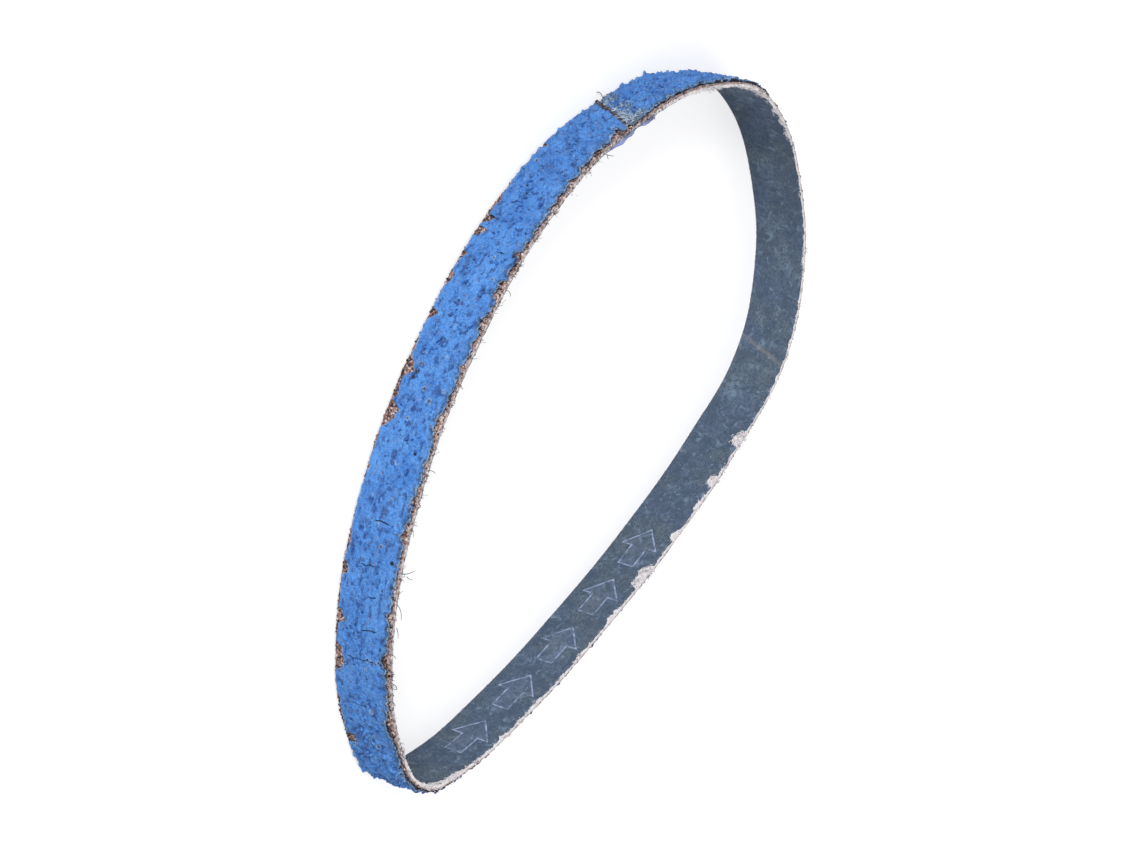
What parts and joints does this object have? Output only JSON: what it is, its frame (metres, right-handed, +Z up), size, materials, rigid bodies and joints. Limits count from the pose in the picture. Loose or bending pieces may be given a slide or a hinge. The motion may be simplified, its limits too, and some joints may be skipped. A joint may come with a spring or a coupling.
{
  "type": "sanding belt",
  "caption": "Narrow endless sanding belt lying as a closed loop on its edge: chipped blue grain coat on brown resin over grey cloth, with a slanted butt splice and film.",
  "frame": {"origin": "under the middle of the loop's outline, at the cut edge that the belt lies on", "axes": "+Z up across the belt's width, from the edge it lies on to the other cut edge; +X along the loop's longest extent"},
  "size_m": [0.176, 0.1094, 0.0134],
  "materials": {
    "cloth_backing": "woven polyester cloth, slate grey, with pale frayed cut edges",
    "make_coat": "rough reddish-brown resin and grain",
    "grain_coat": "lumpy blue grain coat, pitted and chipped",
    "splice_tape": "thin translucent lavender film"
  },
  "bodies": {
    "root": {"cloth_backing": "cloth_backing", "make_coat": "make_coat", "grain_coat": "grain_coat", "splice_tape": "splice_tape"}
  },
  "joints": []
}
